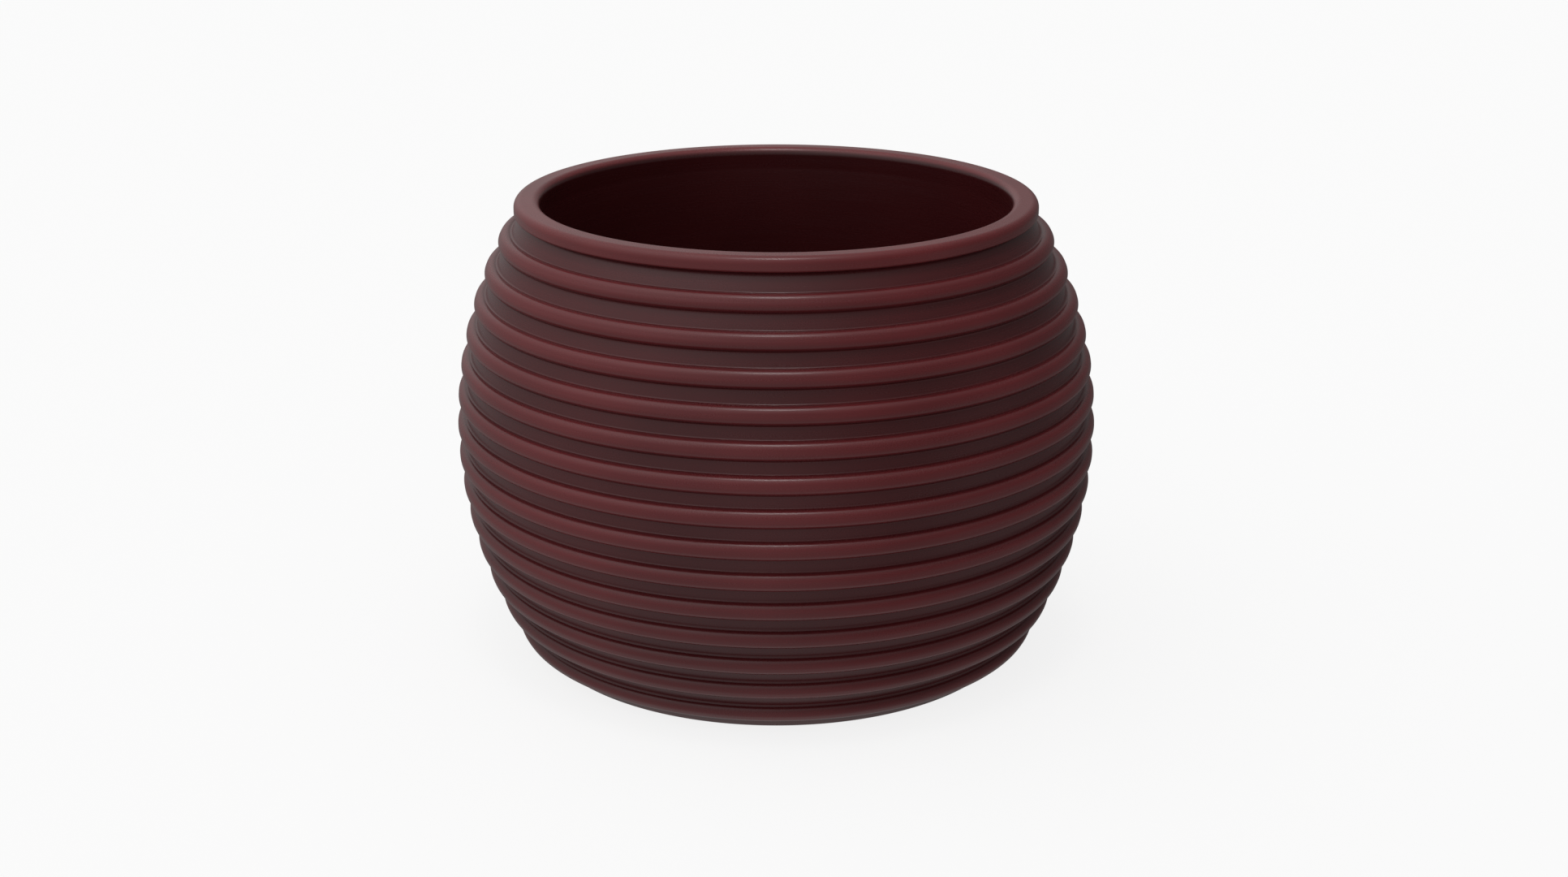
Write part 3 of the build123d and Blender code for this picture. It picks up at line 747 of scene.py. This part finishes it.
class Shade:
    """A Principled material, with short calls for the nodes that feed it.

    Texture scales are per metre, as one number or as (x, y, z).
    """

    def __init__(self, name):
        self.mat = bpy.data.materials.new(name)
        self.mat.use_nodes = True
        self.nodes = self.mat.node_tree.nodes
        self.link = self.mat.node_tree.links.new
        self.nodes.clear()
        output = self.nodes.new("ShaderNodeOutputMaterial")
        self.bsdf = self.nodes.new("ShaderNodeBsdfPrincipled")
        self.link(self.bsdf.outputs[0], output.inputs["Surface"])
        self.place = self.nodes.new("ShaderNodeTexCoord").outputs["Object"]

    def feed(self, socket, value):
        if isinstance(value, bpy.types.NodeSocket):
            self.link(value, socket)
        else:
            socket.default_value = value

    def finish(self, **inputs):
        """Feed the Principled node and return the material."""
        for key, value in inputs.items():
            self.feed(self.bsdf.inputs[key.replace("_", " ")], value)
        return self.mat

    def scaled(self, scale):
        node = self.nodes.new("ShaderNodeVectorMath")
        node.operation = "MULTIPLY"
        self.link(self.place, node.inputs[0])
        node.inputs[1].default_value = scale if isinstance(scale, tuple) else (scale,) * 3
        return node.outputs[0]

    def noise(self, scale, detail=3.0, rough=0.5, distortion=0.0):
        place = self.scaled(scale)
        node = self.nodes.new("ShaderNodeTexNoise")
        self.link(place, node.inputs["Vector"])
        node.inputs["Scale"].default_value = 1.0
        node.inputs["Detail"].default_value = detail
        node.inputs["Roughness"].default_value = rough
        node.inputs["Distortion"].default_value = distortion
        return node.outputs["Fac"]

    def voronoi(self, scale):
        place = self.scaled(scale)
        node = self.nodes.new("ShaderNodeTexVoronoi")
        self.link(place, node.inputs["Vector"])
        node.inputs["Scale"].default_value = 1.0
        return node.outputs["Distance"]

    def math(self, operation, a, b=0.0):
        node = self.nodes.new("ShaderNodeMath")
        node.operation = operation
        for socket, value in zip(node.inputs, (a, b, 0.0)):
            self.feed(socket, value)
        return node.outputs[0]

    def plus(self, start, factor, amount):
        """start + factor * amount"""
        return self.math("ADD", start, self.math("MULTIPLY", factor, amount))

    def length(self, a, b):
        a2, b2 = self.math("MULTIPLY", a, a), self.math("MULTIPLY", b, b)
        return self.math("SQRT", self.math("ADD", a2, b2))

    def ramp(self, value, low, high, at_low=0.0, at_high=1.0):
        """Smooth step from at_low to at_high as the value goes from low to high."""
        node = self.nodes.new("ShaderNodeMapRange")
        node.interpolation_type = "SMOOTHSTEP"
        self.feed(node.inputs["Value"], value)
        node.inputs["From Min"].default_value = low
        node.inputs["From Max"].default_value = high
        node.inputs["To Min"].default_value = at_low
        node.inputs["To Max"].default_value = at_high
        return node.outputs[0]

    def mix(self, factor, a, b):
        node = self.nodes.new("ShaderNodeMix")
        node.data_type = "RGBA"
        self.feed(node.inputs[0], factor)
        for index, colour in ((6, a), (7, b)):
            is_socket = isinstance(colour, bpy.types.NodeSocket)
            self.feed(node.inputs[index], colour if is_socket else (*colour, 1.0))
        return node.outputs[2]

    def clouded(self, cloud, dark, light):
        return self.mix(self.ramp(cloud, low=0.3, high=0.7), dark, light)

    def bump(self, height, strength, distance, normal=None):
        """Bump of a distance in millimetres, on top of another normal if one is given."""
        node = self.nodes.new("ShaderNodeBump")
        self.link(height, node.inputs["Height"])
        node.inputs["Strength"].default_value = strength
        node.inputs["Distance"].default_value = distance * MM
        if normal is not None:
            self.link(normal, node.inputs["Normal"])
        return node.outputs[0]

    def geometry(self, output):
        return self.nodes.new("ShaderNodeNewGeometry").outputs[output]

    def split(self, vector):
        node = self.nodes.new("ShaderNodeSeparateXYZ")
        self.link(vector, node.inputs[0])
        return node.outputs


def painted_hoop_shade(shade):
    """Painted shade factor: darker on the wall between the hoops, and darker towards the base."""
    x, y, z = shade.split(shade.place)
    radius = shade.length(x, y)
    from_arc_x = shade.math("SUBTRACT", radius, ARC_C * MM)
    from_arc_z = shade.math("SUBTRACT", z, ARC_Z * MM)
    out = shade.math("SUBTRACT", shade.length(from_arc_x, from_arc_z), ARC_R * MM)
    # painted shade in the recesses between the hoops, where the hoops keep light off the wall
    hoops = shade.ramp(out, low=0.4 * MM, high=7.8 * MM, at_low=0.62)
    # painted shade on the lower hoops, which turn away from the light above
    height = shade.ramp(z, low=60.0 * MM, high=220.0 * MM, at_low=0.86)
    return shade.math("MULTIPLY", hoops, height)


def painted_inside_shade(shade):
    """Painted shade factor: darker on faces turned to the axis and on the floor inside, as shade
    in the pot.
    """
    # level of the painted shade inside the pot
    dark = 0.34
    x, y, z = shade.split(shade.place)
    radius = shade.length(x, y)
    normal_x, normal_y, normal_z = shade.split(shade.geometry("Normal"))
    along_x = shade.math("MULTIPLY", normal_x, x)
    along = shade.math("ADD", along_x, shade.math("MULTIPLY", normal_y, y))
    against = shade.math("MULTIPLY", along, -1.0)
    inward = shade.math("DIVIDE", against, shade.math("MAXIMUM", radius, 0.001))
    wall = shade.ramp(inward, low=0.66, high=0.97, at_low=1.0, at_high=dark)
    looks_up = shade.ramp(normal_z, low=0.2, high=0.6, at_low=1.0, at_high=dark)
    on_lip = shade.ramp(radius, low=(LIP_IN - 3.0) * MM, high=LIP_IN * MM)
    return shade.math("MINIMUM", wall, shade.math("MAXIMUM", looks_up, on_lip))


def oxblood(name, base, painted_shade):
    """Satin deep red plastic: level marks in the sheen, fine grain, rubbed edges, and a painted
    shade factor.
    """
    shade = Shade(name)
    cloud = shade.noise(scale=7.0, detail=2.0)
    streak = shade.noise(scale=(5.0, 5.0, 170.0), rough=0.6)
    grain = shade.noise(scale=1300.0, detail=2.0, rough=0.55)
    peel = shade.noise(scale=160.0, detail=1.5)
    colour = shade.clouded(cloud, dark=tint(base, 0.90), light=tint(base, 1.10))
    fleck = shade.math("MULTIPLY", shade.ramp(grain, low=0.35, high=0.75), 0.10)
    colour = shade.mix(fleck, colour, tint(base, 1.6, lift=0.01))
    edges = shade.ramp(shade.geometry("Pointiness"), low=0.53, high=0.60)
    patches = shade.noise(scale=(60.0, 60.0, 140.0), detail=4.0, rough=0.7)
    patches = shade.ramp(patches, low=0.45, high=0.7, at_high=0.22)
    rubbed = (base[0] * 1.25 + 0.02, *tint(base[1:], 1.9, lift=0.02))
    colour = shade.mix(shade.math("MULTIPLY", edges, patches), colour, rubbed)
    # painted shade: the colour is darkened towards black by the given factor
    colour = shade.mix(painted_shade(shade), (0.0, 0.0, 0.0), colour)
    roughness = shade.plus(0.20, streak, amount=0.10)
    roughness = shade.plus(roughness, grain, amount=0.04)
    normal = shade.bump(peel, strength=0.05, distance=0.20)
    normal = shade.bump(streak, strength=0.03, distance=0.08, normal=normal)
    normal = shade.bump(grain, strength=0.12, distance=0.08, normal=normal)
    return shade.finish(
        Base_Color=colour, Roughness=roughness, Normal=normal, IOR=1.5, Specular_IOR_Level=0.5
    )


def moulded(name, base, roughness, fibre=False):
    """Plain moulded plastic with a fine cellular texture, and glass fibres if asked."""
    shade = Shade(name)
    cloud = shade.noise(scale=18.0, detail=2.0)
    grain = shade.voronoi(scale=900.0)
    colour = shade.clouded(cloud, dark=tint(base, 0.86), light=tint(base, 1.16))
    if fibre:
        fibres = shade.noise(scale=(2200.0, 420.0, 900.0), detail=2.0, distortion=0.6)
        fibres = shade.ramp(fibres, low=0.62, high=0.74, at_high=0.35)
        colour = shade.mix(fibres, colour, tint(base, 2.2, lift=0.01))
    edges = shade.ramp(shade.geometry("Pointiness"), low=0.54, high=0.64)
    wear = shade.math("MULTIPLY", edges, 0.35)
    colour = shade.mix(wear, colour, tint(base, 1.7, lift=0.015))
    return shade.finish(
        Base_Color=colour,
        Roughness=shade.plus(roughness, cloud, amount=0.12),
        Normal=shade.bump(grain, strength=0.18, distance=0.12),
    )


def rubber(name, base, roughness):
    """Matt rubber with patches of pale dust."""
    shade = Shade(name)
    cloud = shade.noise(scale=45.0, detail=4.0, rough=0.65)
    fine = shade.noise(scale=1500.0, detail=2.0)
    dust = shade.math("MULTIPLY", shade.ramp(cloud, low=0.48, high=0.72), 0.35)
    return shade.finish(
        Base_Color=shade.mix(dust, base, (0.060, 0.055, 0.050)),
        Roughness=shade.plus(roughness, cloud, amount=0.14),
        Normal=shade.bump(fine, strength=0.22, distance=0.08),
    )


def metal(name, base, roughness, knurled=False):
    """Metal with fine level tool marks and a few handling scratches."""
    shade = Shade(name)
    cloud = shade.noise(scale=90.0)
    marks = shade.noise(scale=(400.0, 400.0, 5200.0), detail=2.0)
    scratch = shade.noise(scale=(2600.0, 240.0, 800.0), rough=0.7, distortion=0.4)
    colour = shade.clouded(cloud, dark=tint(base, 0.88), light=base)
    roughness = shade.plus(roughness, marks, amount=0.16)
    scratched = shade.ramp(scratch, low=0.62, high=0.75, at_high=0.14)
    roughness = shade.math("ADD", roughness, scratched)
    normal = shade.bump(marks, strength=0.16, distance=0.04)
    normal = shade.bump(scratch, strength=0.08, distance=0.03, normal=normal)
    if knurled:
        knurl = shade.voronoi(scale=(900.0, 900.0, 720.0))
        normal = shade.bump(knurl, strength=0.7, distance=0.30, normal=normal)
    return shade.finish(Base_Color=colour, Roughness=roughness, Normal=normal, Metallic=1.0)


def felt_material(name):
    """Felt: two crossing sets of matted fibres, clumped, with a soft sheen."""
    shade = Shade(name)
    across = shade.noise(scale=(1500.0, 190.0, 600.0), rough=0.65, distortion=1.2)
    along = shade.noise(scale=(210.0, 1400.0, 600.0), rough=0.65, distortion=1.4)
    clump = shade.noise(scale=70.0, detail=4.0, rough=0.6)
    fibres = shade.math("MAXIMUM", across, along)
    strands = shade.ramp(fibres, low=0.46, high=0.72)
    colour = shade.mix(strands, (0.022, 0.020, 0.019), (0.095, 0.088, 0.082))
    matted = shade.ramp(clump, low=0.35, high=0.7, at_high=0.5)
    colour = shade.mix(matted, colour, (0.040, 0.036, 0.034))
    normal = shade.bump(clump, strength=0.35, distance=1.2)
    normal = shade.bump(fibres, strength=0.75, distance=0.6, normal=normal)
    return shade.finish(
        Base_Color=colour, Roughness=0.96, Normal=normal, Sheen_Weight=0.35,
        Sheen_Roughness=0.45, Sheen_Tint=(0.7, 0.68, 0.66, 1.0), Specular_IOR_Level=0.12,
    )


# roughness is the lowest value, before the textures add to it
# the same plastic in two copies: the shell's base is darker than the liner's, as painted shade on
# the hoops
RED = oxblood("oxblood_shell", base=(0.157, 0.0193, 0.0227), painted_shade=painted_hoop_shade)
RED_LINER = oxblood("oxblood_liner", base=(0.176, 0.0222, 0.0257), painted_shade=painted_inside_shade)
RUBBER = rubber("black_rubber", base=(0.018, 0.018, 0.019), roughness=0.72)
SEAL = rubber("seal_rubber", base=(0.012, 0.012, 0.013), roughness=0.5)
NYLON = moulded("charcoal_nylon", base=(0.030, 0.030, 0.033), roughness=0.42, fibre=True)
PLATFORM = moulded("grey_polypropylene", base=(0.052, 0.052, 0.055), roughness=0.54)
STEEL = metal("stainless_steel", base=(0.60, 0.59, 0.57), roughness=0.24)
BRASS = metal("turned_brass", base=(0.80, 0.58, 0.26), roughness=0.22, knurled=True)
FELT = felt_material("dark_felt")

NODE_MATERIALS = {
    "foot_washers": STEEL, "foot_screws": STEEL, "foot_inserts": BRASS,
    "drain_bush": NYLON, "drain_nut": NYLON, "drain_plug": NYLON,
    "drain_gasket": SEAL, "plug_o_ring": SEAL,
}


def dress(obj, material):
    obj.data.materials.clear()
    obj.data.materials.append(material)


for obj in list(scene.objects):
    if obj.type == "MESH" and (obj.name == "outer_wall" or obj.name.startswith("shell_")):
        dress(obj, RED)
dress(liner, RED_LINER)
for pad in pads:
    dress(pad, RUBBER)
dress(felt, FELT)
for obj in plate_parts + legs:
    dress(obj, PLATFORM)
for node, material in NODE_MATERIALS.items():
    dress(NODES[node], material)

# ----------------------------------------------------------------------- floor
WHITE = (1, 1, 1, 1)
BACKDROP_STRENGTH = 1.05  # of the floor's glow and of the world as the camera sees it
FLOOR_GLOW = 0.80  # share of emission in the floor's shader


def floor_material():
    material = bpy.data.materials.new("pale_floor")
    material.use_nodes = True
    nodes, link = material.node_tree.nodes, material.node_tree.links.new
    nodes.clear()
    output = nodes.new("ShaderNodeOutputMaterial")
    mix = nodes.new("ShaderNodeMixShader")
    diffuse = nodes.new("ShaderNodeBsdfDiffuse")
    glow = nodes.new("ShaderNodeEmission")
    diffuse.inputs["Color"].default_value = (0.9, 0.9, 0.9, 1)
    glow.inputs["Color"].default_value = WHITE
    glow.inputs["Strength"].default_value = BACKDROP_STRENGTH
    mix.inputs[0].default_value = FLOOR_GLOW
    link(diffuse.outputs[0], mix.inputs[1])
    link(glow.outputs[0], mix.inputs[2])
    link(mix.outputs[0], output.inputs["Surface"])
    return material


bm = bmesh.new()
bmesh.ops.create_circle(bm, cap_ends=True, segments=128, radius=30.0)
floor = bmesh_object("floor", bm)
floor.data.materials.append(floor_material())
floor.visible_diffuse = False
floor.visible_glossy = False

# ----------------------------------------------------------------------- light
# soft lobes of light around the object: azimuth, elevation (degrees), tightness, strength
LOBES = [
    (-92, 79, 220.0, 12.0),
    (200, 70, 3.0, 0.95),
    (200, -5, 1.1, 0.28),
    (105, 19, 12.0, 0.30),
    (-90, -15, 8.0, 0.15),
    (-15, -15, 8.0, 0.14),
    (0, -90, 3.0, 0.42),
]
AMBIENT = 0.03


def build_world():
    """World lit by the lobes, each strength * exp(tightness * (cos - 1)); plain to the camera."""
    world = bpy.data.worlds.new("studio")
    scene.world = world
    world.use_nodes = True
    nodes, link = world.node_tree.nodes, world.node_tree.links.new
    nodes.clear()
    output = nodes.new("ShaderNodeOutputWorld")
    coordinates = nodes.new("ShaderNodeTexCoord")
    direction = nodes.new("ShaderNodeVectorMath")
    direction.operation = "NORMALIZE"
    link(coordinates.outputs["Generated"], direction.inputs[0])
    total = None
    for index, (azimuth, elevation, tightness, strength) in enumerate(LOBES):
        level, height = polar(1.0, math.radians(elevation))
        x, y = polar(level, math.radians(azimuth))
        cosine = nodes.new("ShaderNodeVectorMath")
        cosine.operation = "DOT_PRODUCT"
        link(direction.outputs[0], cosine.inputs[0])
        cosine.inputs[1].default_value = (x, y, height)
        exponent = nodes.new("ShaderNodeMath")
        exponent.operation = "MULTIPLY_ADD"
        link(cosine.outputs["Value"], exponent.inputs[0])
        exponent.inputs[1].default_value = tightness
        exponent.inputs[2].default_value = -tightness
        falloff = nodes.new("ShaderNodeMath")
        falloff.operation = "EXPONENT"
        link(exponent.outputs[0], falloff.inputs[0])
        lobe = nodes.new("ShaderNodeMath")
        lobe.operation = "MULTIPLY_ADD"
        lobe.name = f"lobe{index}"
        link(falloff.outputs[0], lobe.inputs[0])
        lobe.inputs[1].default_value = strength
        if total is None:
            lobe.inputs[2].default_value = AMBIENT
        else:
            link(total, lobe.inputs[2])
        total = lobe.outputs[0]
    light = nodes.new("ShaderNodeBackground")
    link(total, light.inputs["Strength"])
    light.inputs["Color"].default_value = WHITE
    seen = nodes.new("ShaderNodeBackground")
    seen.inputs["Color"].default_value = WHITE
    seen.inputs["Strength"].default_value = BACKDROP_STRENGTH
    light_path = nodes.new("ShaderNodeLightPath")
    mix = nodes.new("ShaderNodeMixShader")
    link(light_path.outputs["Is Camera Ray"], mix.inputs[0])
    link(light.outputs[0], mix.inputs[1])
    link(seen.outputs[0], mix.inputs[2])
    link(mix.outputs[0], output.inputs["Surface"])


build_world()

# ---------------------------------------------------------------------- camera
CAMERA_TILT = 0.3278  # radians below level
CAMERA_DISTANCE, LOOK_Z = 2.0832, 0.19256  # metres, from and up to the point looked at

camera_data = bpy.data.cameras.new("camera")
camera_data.sensor_width = 36.0
camera_data.lens = 50.0
camera_data.shift_x = 0.004968944
camera_data.clip_end = 200.0
camera = mesh_object("camera", camera_data)
back, rise = polar(CAMERA_DISTANCE, CAMERA_TILT)
camera.location = (0.0, -back, LOOK_Z + rise)
camera.rotation_euler = (PI / 2 - CAMERA_TILT, 0.0, 0.0)
scene.camera = camera
scene.view_settings.view_transform = "Standard"
scene.view_settings.look = "None"

bpy.context.view_layer.update()
